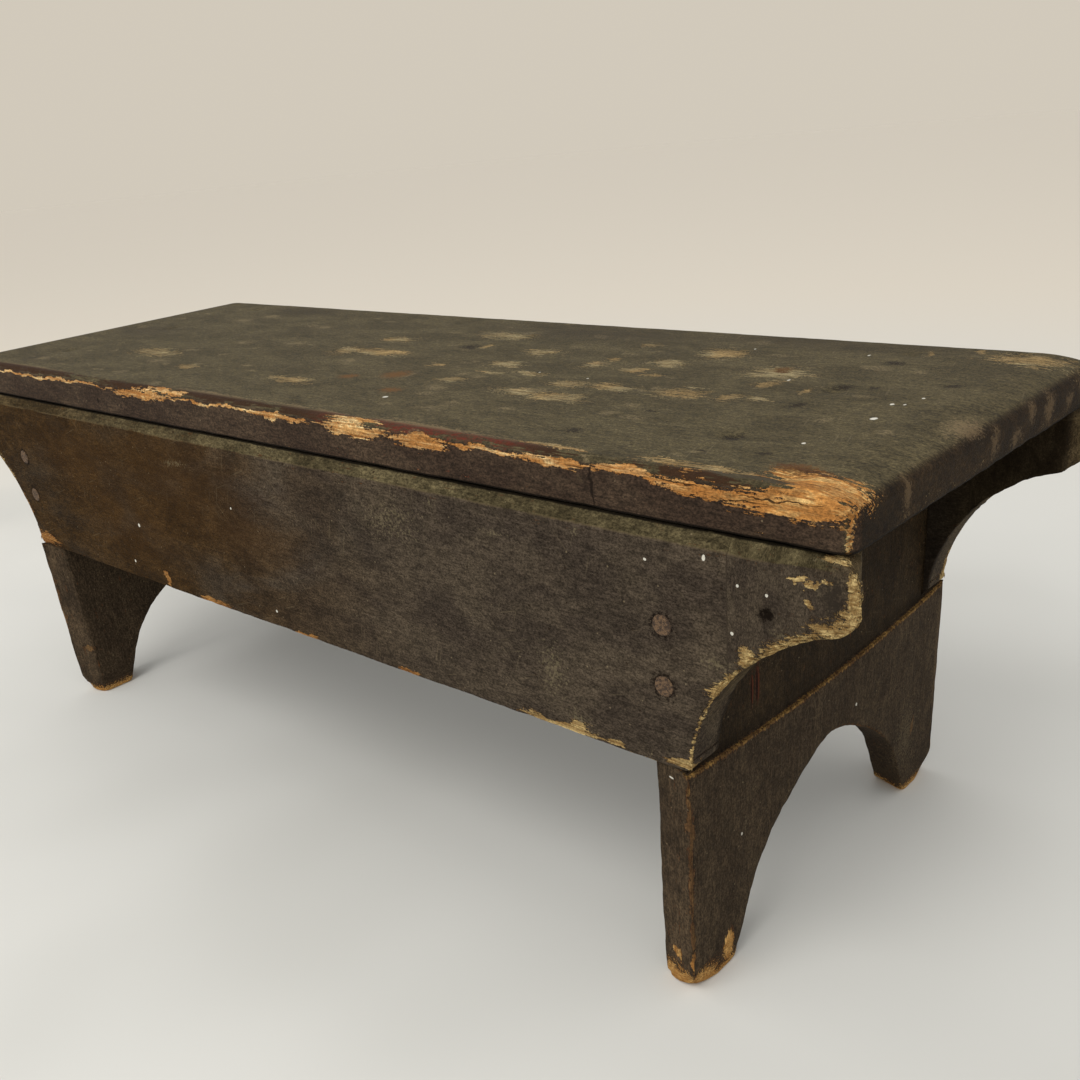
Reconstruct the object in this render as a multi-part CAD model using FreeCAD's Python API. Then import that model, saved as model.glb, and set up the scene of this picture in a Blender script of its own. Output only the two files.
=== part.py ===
# Low nailed pine stool: one top board, two aprons with ogee ends, two arched leg boards
# Origin on the floor under the middle of the top, X along the length, Z up, millimetres
import FreeCAD, Part
import math
import os

os.makedirs("parts", exist_ok=True)

# Whole stool
stool_length = 578.0
stool_height = 200.0
apron_face_width = 194.0
board_thickness = 17.0
overrun = 2.0

# Top board
top_end_setback = 4.0
top_side_setback = 3.0
top_end_round = 7.0
top_side_round = 4.0
top_corner_round = 6.0

# Apron boards
apron_height = 86.0
nose_radius = 13.0
nose_undercut = 8.0
hollow_radius = 68.0
heel_round = 4.0
apron_bevel_height = 4.5
apron_bevel_depth = 3.0

# Leg boards
leg_end_setback = 58.0
leg_side_reach = 1.5
leg_edge_bevel = 5.0
leg_panel_recess = 2.0
ledge_drop = 1.0
ledge_sag = 4.5
arch_width = 137.0
arch_height = 66.0
arch_flare = 5.0
haunch_low_out_share = 0.81
haunch_low_up_share = 0.48
haunch_high_out_share = 0.48
haunch_high_up_share = 0.79
foot_corner_round = 12.0
foot_arch_round = 4.0
foot_sole_round = 5.0

# Nails
nail_length = 45.0
nail_head_width = 7.8
nail_head_depth = 1.3
nail_head_chamfer = 0.5
nail_shank_width = 3.4
nail_tip_width = 1.2
nail_proud = 0.3
nail_set_depth = 1.2
apron_nail_height = 30.5
apron_nail_pitch = 22.0
leg_nail_front_margin = 26.0
leg_nail_rear_margin = 6.0
apron_top_nail_setback = 29.0
apron_top_nail_inset = 4.5

# Levels and planes that follow from the sizes above
top_underside = stool_height - board_thickness
apron_bottom = top_underside - apron_height
apron_outer = apron_face_width / 2
apron_inner = apron_outer - board_thickness
nose_tip = stool_length / 2
top_half_length = nose_tip - top_end_setback
top_half_width = apron_outer - top_side_setback
leg_outer = nose_tip - leg_end_setback
leg_inner = leg_outer - board_thickness
leg_panel = leg_outer - leg_panel_recess
leg_half = apron_outer + leg_side_reach
nail_line = (leg_panel + leg_inner) / 2

along_x = FreeCAD.Vector(1, 0, 0)
along_y = FreeCAD.Vector(0, 1, 0)
along_z = FreeCAD.Vector(0, 0, 1)
centre = FreeCAD.Vector(0, 0, 0)


def vec(x, y, z):
    return FreeCAD.Vector(x, y, z)


def box(x0, x1, y0, y1, z0, z1):
    return Part.makeBox(x1 - x0, y1 - y0, z1 - z0, vec(x0, y0, z0))


def other_end(shape):
    return shape.mirror(centre, along_x)


def line(a, b):
    return Part.makeLine(a, b)


# A bar of constant section whose two upper or four long edges are rounded
def rounded_bar(blank, radius, wanted):
    edges = [e for e in blank.Edges if wanted(e)]
    return blank.makeFillet(radius, edges)


def runs_along(edge, direction):
    a = edge.Vertexes[0].Point
    b = edge.Vertexes[-1].Point
    return abs((b - a).normalize().dot(direction)) > math.cos(math.radians(1))


# Top plank, the common body of three rounded bars, so worn ends and sides meet cleanly
def top_plank():
    half_x = top_half_length
    half_y = top_half_width
    low = top_underside
    high = stool_height

    def upper(edge):
        return min(v.Point.z for v in edge.Vertexes) > (low + high) / 2

    side_bar = box(-half_x, half_x, -half_y, half_y, low, high)
    side_bar = rounded_bar(side_bar, top_side_round, lambda e: upper(e) and runs_along(e, along_x))
    end_bar = box(-half_x, half_x, -half_y, half_y, low, high)
    end_bar = rounded_bar(end_bar, top_end_round, lambda e: upper(e) and runs_along(e, along_y))
    plan_bar = box(-half_x, half_x, -half_y, half_y, low, high)
    plan_bar = rounded_bar(plan_bar, top_corner_round, lambda e: runs_along(e, along_z))
    return side_bar.common(end_bar).common(plan_bar)


# Where the hollow sweeps out of the nose: centre of the hollow and the tangent point
def ogee_points():
    nose_centre = vec(nose_tip - nose_radius, 0, top_underside - nose_radius)
    heel = vec(leg_outer, 0, apron_bottom)
    reach = nose_centre - heel
    span = reach.Length
    foot = (hollow_radius ** 2 - (hollow_radius + nose_radius) ** 2 + span ** 2) / (2 * span)
    rise = math.sqrt(hollow_radius ** 2 - foot ** 2)
    unit = vec(reach.x / span, 0, reach.z / span)
    side = vec(unit.z, 0, -unit.x)
    hollow_centre = heel + unit * foot + side * rise
    to_hollow = hollow_centre - nose_centre
    tangent = nose_centre + to_hollow * (nose_radius / to_hollow.Length)
    return nose_centre, heel, hollow_centre, tangent


# Point of a circle halfway between two of its points, on the short side
def arc_middle(circle_centre, radius, a, b):
    middle = (a + b) * 0.5 - circle_centre
    return circle_centre + middle * (radius / middle.Length)


# Apron face outline in the XZ plane at y = 0, both ends alike
def apron_outline():
    nose_centre, heel, hollow_centre, tangent = ogee_points()
    crown = vec(nose_centre.x, 0, top_underside)
    tip = vec(nose_centre.x + nose_radius, 0, nose_centre.z)
    flip = lambda p: vec(-p.x, p.y, p.z)
    upper_mid = arc_middle(nose_centre, nose_radius, crown, tip)
    lower_mid = arc_middle(nose_centre, nose_radius, tip, tangent)
    hollow_mid = arc_middle(hollow_centre, hollow_radius, tangent, heel)
    edges = [line(flip(crown), crown)]
    edges.append(Part.Arc(crown, upper_mid, tip).toShape())
    edges.append(Part.Arc(tip, lower_mid, tangent).toShape())
    edges.append(Part.Arc(tangent, hollow_mid, heel).toShape())
    edges.append(line(heel, flip(heel)))
    edges.append(Part.Arc(flip(heel), flip(hollow_mid), flip(tangent)).toShape())
    edges.append(Part.Arc(flip(tangent), flip(lower_mid), flip(tip)).toShape())
    edges.append(Part.Arc(flip(tip), flip(upper_mid), flip(crown)).toShape())
    return Part.Wire(edges)


# Slice off the back of one nose, which the saw left out of square, end is -1 left and 1 right
def nose_slice(end):
    slope = nose_undercut / board_thickness
    past = nose_tip + overrun
    inner = -apron_inner + overrun
    corner = [
        vec(end * nose_tip, -apron_outer, 0),
        vec(end * past, -apron_outer, 0),
        vec(end * past, inner, 0),
        vec(end * (nose_tip - nose_undercut - slope * overrun), inner, 0),
    ]
    face = Part.Face(Part.makePolygon(corner + [corner[0]]))
    return face.extrude(along_z * (top_underside + overrun))


# Wedge along the whole board that makes the bevel of the top outer arris
def bevel_wedge():
    long = nose_tip + overrun
    slope = apron_bevel_depth / apron_bevel_height
    corner = [
        vec(-long, -apron_outer, top_underside - apron_bevel_height),
        vec(-long, -apron_outer + apron_bevel_depth + slope * overrun, top_underside + overrun),
        vec(-long, -apron_outer - overrun, top_underside + overrun),
        vec(-long, -apron_outer - overrun, top_underside - apron_bevel_height),
    ]
    return Part.Face(Part.makePolygon(corner + [corner[0]])).extrude(along_x * (2 * long))


# Front apron, with rounded heels above the legs and a bevel beside the top board
def apron_plank():
    plank = Part.Face(apron_outline()).extrude(along_y * board_thickness)
    plank.translate(vec(0, -apron_outer, 0))
    near = apron_bottom + overrun
    plank = rounded_bar(plank, heel_round, lambda e: runs_along(e, along_y) and e.Vertexes[0].Point.z < near)
    return plank.cut([nose_slice(-1), nose_slice(1), bevel_wedge()])


# Arch outline in the plane x, widened by spread on each side
def arch_outline(x, spread):
    half = arch_width / 2 + spread
    sole = foot_arch_round
    low_y = half * haunch_low_out_share
    high_y = half * haunch_high_out_share
    low_z = arch_height * haunch_low_up_share
    high_z = arch_height * haunch_high_up_share
    curve = Part.BSplineCurve()
    points = [
        vec(x, -half, sole),
        vec(x, -low_y, low_z),
        vec(x, -high_y, high_z),
        vec(x, 0, arch_height),
        vec(x, high_y, high_z),
        vec(x, low_y, low_z),
        vec(x, half, sole),
    ]
    curve.interpolate(points)
    turn = sole * (1 - math.cos(math.radians(45)))
    right_round = Part.Arc(vec(x, half, sole), vec(x, half + turn, turn), vec(x, half + sole, 0))
    left_round = Part.Arc(vec(x, -half - sole, 0), vec(x, -half - turn, turn), vec(x, -half, sole))
    edges = [curve.toShape(), right_round.toShape()]
    edges.append(line(vec(x, half + sole, 0), vec(x, half + sole, -overrun)))
    edges.append(line(vec(x, half + sole, -overrun), vec(x, -half - sole, -overrun)))
    edges.append(line(vec(x, -half - sole, -overrun), vec(x, -half - sole, 0)))
    edges.append(left_round.toShape())
    return Part.Wire(edges)


# Saw cut of the arch, a little wider on the inner face than on the outer face
def arch_cutter():
    per_mm = arch_flare / board_thickness
    inner = arch_outline(leg_inner - overrun, arch_flare + per_mm * overrun)
    outer = arch_outline(leg_outer + overrun, -per_mm * overrun)
    return Part.makeLoft([inner, outer], True, True)


# Wedge that bevels one long edge of a leg board, side is -1 in front and 1 behind
def edge_wedge(side):
    deep = leg_edge_bevel * (board_thickness + overrun) / board_thickness
    outside = side * (leg_half + overrun)
    corner = [
        vec(leg_outer, side * leg_half, -overrun),
        vec(leg_outer, outside, -overrun),
        vec(leg_inner - overrun, outside, -overrun),
        vec(leg_inner - overrun, side * (leg_half - deep), -overrun),
    ]
    face = Part.Face(Part.makePolygon(corner + [corner[0]]))
    return face.extrude(along_z * (top_underside + 2 * overrun))


# Shallow recess of the outer face above the hand cut ledge
def panel_recess():
    edge_z = apron_bottom - ledge_drop
    wide = leg_half + overrun
    high = top_underside + overrun
    start = vec(leg_panel, -wide, edge_z)
    finish = vec(leg_panel, wide, edge_z)
    lowest = vec(leg_panel, 0, edge_z - ledge_sag)
    edges = [Part.Arc(start, lowest, finish).toShape()]
    edges.append(line(finish, vec(leg_panel, wide, high)))
    edges.append(line(vec(leg_panel, wide, high), vec(leg_panel, -wide, high)))
    edges.append(line(vec(leg_panel, -wide, high), start))
    face = Part.Face(Part.Wire(edges))
    return face.extrude(along_x * (leg_panel_recess + overrun))


# Right leg board: rounded feet, arch, bevelled edges, apron notches, recessed panel
def leg_plank():
    def foot_corner(edge):
        low = max(v.Point.z for v in edge.Vertexes) < apron_bottom / 2
        return low and runs_along(edge, along_x)

    def sole_edge(edge):
        low = max(v.Point.z for v in edge.Vertexes) < apron_bottom / 2
        return low and runs_along(edge, along_y)

    blank = box(leg_inner, leg_outer, -leg_half, leg_half, 0, top_underside)
    plank = rounded_bar(blank, foot_corner_round, foot_corner)
    plank = plank.common(rounded_bar(blank, foot_sole_round, sole_edge))
    plank = plank.cut(arch_cutter())
    for side in (-1, 1):
        plank = plank.cut(edge_wedge(side))
        y0, y1 = sorted((side * apron_inner, side * (leg_half + overrun)))
        notch = box(leg_inner - overrun, leg_outer + overrun, y0, y1, apron_bottom, top_underside + overrun)
        plank = plank.cut(notch)
    return plank.cut(panel_recess())


# Cut nail pointing down, flat of the head at z = 0
def nail():
    head = Part.makeCylinder(nail_head_width / 2, nail_head_depth, vec(0, 0, -nail_head_depth))
    rim = [e for e in head.Edges if len(e.Vertexes) == 1 and e.Vertexes[0].Point.z > -nail_head_depth / 2]
    head = head.makeChamfer(nail_head_chamfer, rim)
    neck = nail_head_depth / 2
    wide = nail_shank_width / 2
    tip = nail_tip_width / 2
    shank = Part.makeWedge(-wide, neck, -wide, -tip, -tip, wide, nail_length, wide, tip, tip)
    shank.rotate(centre, along_x, -90)
    return head.fuse(shank).removeSplitter()


# Apron nails of one side, two through each apron end into the leg's edge
def apron_nails(side):
    nails = []
    for end in (-1, 1):
        for step in (0, 1):
            item = nail()
            item.rotate(centre, along_x, -90 * side)
            height = apron_bottom + apron_nail_height + step * apron_nail_pitch
            item.translate(vec(end * nail_line, side * (apron_outer + nail_proud), height))
            nails.append(item)
    return nails


# Nails through the top board, driven below its face
def top_nail(x, y):
    item = nail()
    item.translate(vec(x, y, stool_height - nail_set_depth))
    return item


# Three nails into each leg board, spread between the aprons
def top_leg_nails():
    first = -apron_inner + leg_nail_front_margin
    last = apron_inner - leg_nail_rear_margin
    nails = []
    for end in (-1, 1):
        for across in (first, (first + last) / 2, last):
            nails.append(top_nail(end * nail_line, across))
    return nails


# One nail into each end of both aprons
def top_apron_nails():
    nails = []
    for side in (-1, 1):
        for end in (-1, 1):
            across = side * (apron_inner + apron_top_nail_inset)
            nails.append(top_nail(end * (nose_tip - apron_top_nail_setback), across))
    return nails


# Pit left in the top above each sunk nail
def nail_pits(nails):
    pits = []
    for item in nails:
        spot = item.BoundBox.Center
        low = stool_height - nail_set_depth - nail_head_chamfer
        tall = nail_set_depth + nail_head_chamfer + overrun
        pits.append(Part.makeCylinder(nail_head_width / 2, tall, vec(spot.x, spot.y, low)))
    return pits


def write(name, solids):
    shape = solids[0] if len(solids) == 1 else Part.makeCompound(solids)
    shape.exportStep("parts/" + name + ".step")


front_nails = apron_nails(-1)
rear_nails = apron_nails(1)
leg_nails = top_leg_nails()
rail_nails = top_apron_nails()

top_board = top_plank().cut(leg_nails + rail_nails + nail_pits(leg_nails + rail_nails))
front_apron = apron_plank()
rear_apron = front_apron.mirror(centre, along_y)
front_apron = front_apron.cut(front_nails + rail_nails)
rear_apron = rear_apron.cut(rear_nails + rail_nails)
right_leg = leg_plank()
left_leg = other_end(right_leg).cut(front_nails + rear_nails + leg_nails)
right_leg = right_leg.cut(front_nails + rear_nails + leg_nails)

write("top_board", [top_board])
write("front_apron", [front_apron])
write("rear_apron", [rear_apron])
write("left_leg", [left_leg])
write("right_leg", [right_leg])
write("front_apron_nails", front_nails)
write("rear_apron_nails", rear_nails)
write("top_leg_nails", leg_nails)
write("top_apron_nails", rail_nails)
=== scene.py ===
import math

import bmesh
import bpy
from mathutils import Matrix, Vector
from mathutils.kdtree import KDTree


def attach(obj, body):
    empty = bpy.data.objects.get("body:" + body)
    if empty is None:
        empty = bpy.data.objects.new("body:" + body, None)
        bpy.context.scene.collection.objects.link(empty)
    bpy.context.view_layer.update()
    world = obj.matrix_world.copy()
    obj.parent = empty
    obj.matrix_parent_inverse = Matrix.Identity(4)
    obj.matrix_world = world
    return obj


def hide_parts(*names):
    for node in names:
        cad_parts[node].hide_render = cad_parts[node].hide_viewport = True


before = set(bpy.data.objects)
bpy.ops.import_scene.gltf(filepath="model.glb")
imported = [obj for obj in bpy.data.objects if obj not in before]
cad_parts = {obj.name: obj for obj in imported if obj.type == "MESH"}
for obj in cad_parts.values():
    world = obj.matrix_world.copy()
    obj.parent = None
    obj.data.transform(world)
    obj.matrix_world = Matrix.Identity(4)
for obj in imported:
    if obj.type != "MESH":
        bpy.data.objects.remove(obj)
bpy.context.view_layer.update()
bpy.context.scene.view_settings.view_transform = "Standard"

# Camera: it stands before the right end at about arm's length and looks down along the stool.
# The shift lifts the frame, because the photograph is the upper part of a taller picture.
camera = bpy.data.objects.new("camera", bpy.data.cameras.new("camera"))
bpy.context.scene.collection.objects.link(camera)
bpy.context.scene.camera = camera
yaw, pitch, roll = 0.7728, 0.4693, -0.0969
ahead = Vector((-math.sin(yaw) * math.cos(pitch), math.cos(yaw) * math.cos(pitch), -math.sin(pitch)))
level = Vector((math.cos(yaw), math.sin(yaw), 0))
upward = level.cross(ahead)
across = math.cos(roll) * level + math.sin(roll) * upward
above = -math.sin(roll) * level + math.cos(roll) * upward
turn = Matrix((across, above, -ahead)).transposed().to_4x4()
stand = Vector((0.4210, -0.3593, 0.2997))
camera.matrix_world = Matrix.Translation(stand) @ turn
camera.data.sensor_width = 36
camera.data.lens = 37.586
camera.data.shift_y = 0.1307
camera.data.clip_start = 0.01

# Floor: pale cotton cloth laid flat, a little warmer far behind the stool, with faint folds
# left in it. The sky has the colour of the cloth there, so no horizon shows.


def add(tree, kind, inputs=None, **settings):
    made = tree.nodes.new("ShaderNode" + kind)
    for key, value in settings.items():
        setattr(made, key, value)
    for key, value in (inputs or {}).items():
        if isinstance(value, bpy.types.NodeSocket):
            tree.links.new(value, made.inputs[key])
        else:
            made.inputs[key].default_value = value
    return made


def calc(tree, operation, a, b=0.0, c=0.0):
    return add(tree, "Math", {0: a, 1: b, 2: c}, operation=operation).outputs[0]


def times(tree, a, b):
    return calc(tree, "MULTIPLY", a, b)


def scaled(tree, value, by, plus):
    return calc(tree, "MULTIPLY_ADD", value, by, plus)


def between(tree, value, low, high):
    wanted = {"Value": value, "From Min": low, "From Max": high}
    return add(tree, "MapRange", wanted, interpolation_type="SMOOTHSTEP").outputs[0]


def tint(tree, factor, first, second):
    return add(tree, "Mix", {0: factor, 6: first, 7: second}, data_type="RGBA").outputs[2]


def grainy(tree, vector, scale, detail=3.0, roughness=0.55, distortion=0.0):
    wanted = {"Vector": vector, "Scale": scale, "Detail": detail, "Roughness": roughness}
    return add(tree, "TexNoise", wanted | {"Distortion": distortion}).outputs[0]


def relief(tree, shader, height, strength, depth):
    bump = add(tree, "Bump", {"Height": height, "Strength": strength, "Distance": depth})
    tree.links.new(bump.outputs[0], shader.inputs["Normal"])


def new_material(name):
    made = bpy.data.materials.new(name)
    made.use_nodes = True
    return made, made.node_tree, made.node_tree.nodes["Principled BSDF"]


bpy.ops.object.select_all(action="DESELECT")
bpy.ops.mesh.primitive_circle_add(vertices=96, radius=8, fill_type="NGON")
floor = bpy.context.object
floor.name = "floor"
bpy.ops.object.mode_set(mode="EDIT")
bpy.ops.mesh.select_all(action="SELECT")
bpy.ops.mesh.inset(thickness=5)
bpy.ops.object.mode_set(mode="OBJECT")
cloth, tree, shader = new_material("pale_cloth")
place = add(tree, "TexCoord").outputs["Object"]
far = add(tree, "VectorMath", {0: place}, operation="LENGTH").outputs["Value"]
near = between(tree, far, 1.1, 0.45)
base = tint(tree, between(tree, far, 0.35, 1.5), (0.72, 0.715, 0.68, 1), (0.80, 0.735, 0.635, 1))
patchy = grainy(tree, place, 3.5, 2)
base = tint(tree, times(tree, between(tree, patchy, 0.45, 0.75), near), base, (0.64, 0.635, 0.60, 1))
tree.links.new(base, shader.inputs["Base Color"])
folds = times(tree, grainy(tree, place, 2.6, 1.5, 0.45, 0.9), near)
relief(tree, shader, folds, 0.5, 0.03)
shader.inputs["Roughness"].default_value = 0.95
shader.inputs["Specular IOR Level"].default_value = 0.1
floor.data.materials.append(cloth)

# Light: an even white sky, and one wide soft lamp high up in front on the left, so that the
# front boards come out lighter than the right end.
world = bpy.data.worlds.new("studio")
bpy.context.scene.world = world
world.use_nodes = True
sky = world.node_tree
white = sky.nodes["Background"]
white.inputs["Color"].default_value = (1.0, 0.99, 0.965, 1)
white.inputs["Strength"].default_value = 0.79
behind = add(sky, "Background", {"Color": (0.641, 0.586, 0.497, 1), "Strength": 1.0})
seen = add(sky, "LightPath").outputs["Is Camera Ray"]
both = add(sky, "MixShader", {0: seen, 1: white.outputs[0], 2: behind.outputs[0]}).outputs[0]
sky.links.new(both, sky.nodes["World Output"].inputs[0])


def soft_lamp(name, spot, size, power, colour):
    lamp = bpy.data.objects.new(name, bpy.data.lights.new(name, "AREA"))
    lamp.data.shape = "DISK"
    lamp.data.size = size
    lamp.data.energy = power
    lamp.data.color = colour
    lamp.location = spot
    lamp.rotation_euler = (Vector((0, 0, 0.1)) - Vector(spot)).to_track_quat("-Z", "Y").to_euler()
    bpy.context.scene.collection.objects.link(lamp)


soft_lamp("front_lamp", (0.15, -1.35, 1.6), 1.5, 20.0, (1.0, 0.985, 0.955))

# Top board: one pine plank, 570 by 188 mm and 17 mm thick, nailed down flat. Feet and shoes have
# rounded both of its ends, dented the paint over the sunk nails, and broken the front arris away
# in long splinters. The paint is grey over an older red-brown coat.


def take(piece):
    bpy.ops.object.select_all(action="DESELECT")
    piece.select_set(True)
    bpy.context.view_layer.objects.active = piece


def start_edit(piece):
    take(piece)
    bpy.ops.object.mode_set(mode="EDIT")
    bpy.ops.mesh.select_all(action="DESELECT")


def pick_all():
    bpy.ops.mesh.select_all(action="SELECT")


def pick(kind, wanted):
    bpy.ops.mesh.select_mode(type=kind)
    bpy.ops.mesh.select_all(action="DESELECT")
    mesh = bmesh.from_edit_mesh(bpy.context.object.data)
    for part in {"VERT": mesh.verts, "EDGE": mesh.edges, "FACE": mesh.faces}[kind]:
        if wanted(part):
            part.select_set(True)
    bmesh.update_edit_mesh(bpy.context.object.data)


def round_over(size, segments, wanted):
    pick("EDGE", wanted)
    bpy.ops.mesh.bevel(offset=size, segments=segments, affect="EDGES")


def middle(edge):
    return (edge.verts[0].co + edge.verts[1].co) / 2


def arris(edge):
    return len(edge.link_faces) == 2 and edge.calc_face_angle_signed(0) > math.radians(24)


def steps(low, high, size):
    count = max(1, round((high - low) / size))
    return [low + (high - low) * number / count for number in range(count + 1)]


def saw(axis, places):
    normal = [0, 0, 0]
    normal[axis] = 1
    for spot in places:
        pick_all()
        bpy.ops.mesh.bisect(plane_co=[spot * part for part in normal], plane_no=normal, threshold=0.000001)


arris_step = 0.0006


def arris_points(piece, more=(), flip=(1, 1, 1)):
    mesh = bmesh.new()
    mesh.from_mesh(piece.data)
    points = list(more)
    for edge in filter(arris, mesh.edges):
        first, last = (corner.co for corner in edge.verts)
        count = max(1, int((last - first).length / arris_step))
        points += [first.lerp(last, number / count) for number in range(count + 1)]
    mesh.free()
    points = [Vector(point) * Vector(flip) for point in points]
    tree = KDTree(len(points))
    for number, point in enumerate(points):
        tree.insert(point, number)
    tree.balance()
    return tree


def chip(piece, size, depth, contrast, lift, stretch=(1, 1, 1)):
    bpy.ops.object.select_all(action="DESELECT")
    bpy.ops.object.empty_add()
    ruler = bpy.context.object
    ruler.scale = [size * part for part in stretch]
    bpy.context.view_layer.update()
    chips = bpy.data.textures.new("chips", "CLOUDS")
    chips.noise_scale = 1.0
    chips.noise_depth = 2
    chips.contrast = contrast
    chips.intensity = lift
    chips.use_clamp = True
    bpy.context.view_layer.objects.active = piece
    broken = piece.modifiers.new("chips", "DISPLACE")
    broken.texture = chips
    broken.texture_coords = "OBJECT"
    broken.texture_coords_object = ruler
    broken.vertex_group = "arris"
    broken.mid_level = 0.0
    broken.strength = -depth
    bpy.ops.object.modifier_apply(modifier="chips")
    bpy.data.objects.remove(ruler)


def note(piece, name, values):
    piece.data.attributes.new(name, "FLOAT", "POINT").data.foreach_set("value", values)


half_length = 0.289


def wear_down(piece, arrises, stretch, reach, heavy, deep=1.0, crisp=50):
    sound = [corner.co.copy() for corner in piece.data.vertices]
    far = [arrises.find(spot)[2] for spot in sound]
    group = piece.vertex_groups.new(name="arris")
    for number, spot in enumerate(sound):
        if far[number] < reach:
            group.add([number], heavy(spot) * (1 - far[number] / reach) ** 1.5, "REPLACE")
    chip(piece, 0.009, 0.0013 * deep, 2.6, 0.62, stretch)
    chip(piece, 0.0028, 0.0007 * deep, 2.0, 0.75, stretch)
    for corner in piece.data.vertices:
        corner.co.x = max(-half_length, min(half_length, corner.co.x))
    lost = [(corner.co - spot).length * 1000 for corner, spot in zip(piece.data.vertices, sound)]
    note(piece, "gap", [min(60, 1000 * part) for part in far])
    note(piece, "lost", lost)
    take(piece)
    bpy.ops.object.shade_smooth_by_angle(angle=math.radians(crisp))


top_long, top_wide, top_low, top_high = 0.570, 0.188, 0.183, 0.200
bpy.ops.object.select_all(action="DESELECT")
top_mid = (top_low + top_high) / 2
bpy.ops.mesh.primitive_cube_add(
    size=1, location=(0, 0, top_mid), scale=(top_long, top_wide, top_high - top_low)
)
top = bpy.context.object
top.name = "top_plank"
bpy.ops.object.transform_apply(location=True, rotation=True, scale=True)
top_arrises = arris_points(top)
start_edit(top)
corner_round, upper_round, lower_round = 0.005, 0.0038, 0.0013
round_over(corner_round, 5, lambda e: abs(middle(e).z - top_mid) < 0.001)
round_over(upper_round, 5, lambda e: min(c.co.z for c in e.verts) > top_high - 0.0001 and arris(e))
round_over(lower_round, 3, lambda e: max(c.co.z for c in e.verts) < top_low + 0.0001 and arris(e))
saw(0, steps(-0.2835, 0.2835, 0.002))
saw(1, steps(-0.0930, -0.078, 0.001) + steps(-0.0755, 0.0850, 0.0027) + steps(0.0865, 0.0930, 0.0013))
saw(2, steps(0.1842, 0.1955, 0.0012))
bpy.ops.object.mode_set(mode="OBJECT")
sunk_nails = [(side * 0.2215, y) for side in (-1, 1) for y in (-0.054, 0.010, 0.074)]
sunk_nails += [(side * 0.260, y) for side in (-1, 1) for y in (-0.0845, 0.0845)]
worn_from, worn_long, end_fall = 0.262, 0.023, 0.0034
dent_radius, dent_deep = 0.0045, 0.0009
for corner in top.data.vertices:
    share = (corner.co.z - top_low) / (top_high - top_low)
    worn = max(0.0, (abs(corner.co.x) - worn_from) / worn_long)
    fall = end_fall * worn ** 2.2
    for x, y in sunk_nails:
        near = math.hypot(corner.co.x - x, corner.co.y - y) / dent_radius
        if near < 3:
            fall += dent_deep * math.exp(-near * near)
    corner.co.z -= fall * share ** 2
wear_down(
    top, top_arrises, (3.0, 1, 1), 0.005,
    lambda spot: 1.0 if spot.y < -0.08 and spot.z > 0.19 else 0.45
)


def colour(*parts):
    bright = [((part / 255 + 0.055) / 1.055) ** 2.4 for part in parts]
    return tuple(part / 255 / 12.92 if part < 11 else light for part, light in zip(parts, bright)) + (1.0,)


def new_group(name, takes, gives):
    group = bpy.data.node_groups.new(name, "ShaderNodeTree")
    for side, labels in (("INPUT", takes), ("OUTPUT", gives)):
        for label, kind in labels:
            group.interface.new_socket(label, in_out=side, socket_type="NodeSocket" + kind)
    return group, group.nodes.new("NodeGroupInput").outputs, group.nodes.new("NodeGroupOutput").inputs


def combine(tree, operation, first, second):
    return add(tree, "VectorMath", {0: first, 1: second}, operation=operation).outputs[0]


def stretch(tree, place, x, y, z):
    return combine(tree, "MULTIPLY", place, (x, y, z))


def streaky(tree, place, x, y, z, *softness):
    return grainy(tree, stretch(tree, place, x, y, z), 1.0, *softness)


def dim(tree, colour, by):
    return add(tree, "VectorMath", {0: colour, "Scale": by}, operation="SCALE").outputs[0]


def use(tree, group, inputs):
    return add(tree, "Group", inputs, node_tree=group).outputs


def most(tree, first, *others):
    for other in others:
        first = calc(tree, "MAXIMUM", first, other)
    return first


patch_group, given, asked = new_group(
    "Patch", [("Vector", "Vector"), ("Centre", "Vector"), ("Size", "Vector"), ("Nearest", "Float")],
    [("Nearest", "Float")]
)
tree = patch_group
away = combine(tree, "SUBTRACT", given["Vector"], given["Centre"])
away = combine(tree, "DIVIDE", away, given["Size"])
away = add(tree, "VectorMath", {0: away}, operation="LENGTH").outputs["Value"]
tree.links.new(calc(tree, "MINIMUM", away, given["Nearest"]), asked["Nearest"])

wander_group, given, asked = new_group(
    "Wander", [("Vector", "Vector"), ("Far", "Float")], [("Vector", "Vector")]
)
tree = wander_group
bent = given["Vector"]
for scale, amount in ((0.07, 1.5), (0.33, 0.65)):
    where = stretch(tree, given["Vector"], scale, scale * 1.6, scale * 1.6)
    drift = add(tree, "TexNoise", {"Vector": where, "Scale": 1.0, "Detail": 2.0}).outputs["Color"]
    drift = combine(tree, "SUBTRACT", drift, (0.5, 0.5, 0.5))
    bent = combine(tree, "ADD", bent, dim(tree, drift, times(tree, given["Far"], amount)))
tree.links.new(bent, asked["Vector"])

speck_group, given, asked = new_group(
    "Specks", [("Vector", "Vector"), ("Scale", "Float"), ("Share", "Float"), ("Size", "Float")],
    [("Mask", "Float")]
)
tree = speck_group
cell = add(tree, "TexVoronoi", {"Vector": given["Vector"], "Scale": given["Scale"]}).outputs
lot = add(tree, "SeparateColor", {0: cell["Color"]}).outputs
kept = calc(tree, "LESS_THAN", lot[0], given["Share"])
reach = times(tree, given["Size"], scaled(tree, lot[1], 0.8, 0.4))
dot = add(
    tree, "MapRange", {"Value": cell["Distance"], "From Min": reach, "From Max": times(tree, reach, 0.6)}
).outputs[0]
tree.links.new(times(tree, kept, dot), asked["Mask"])

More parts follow.
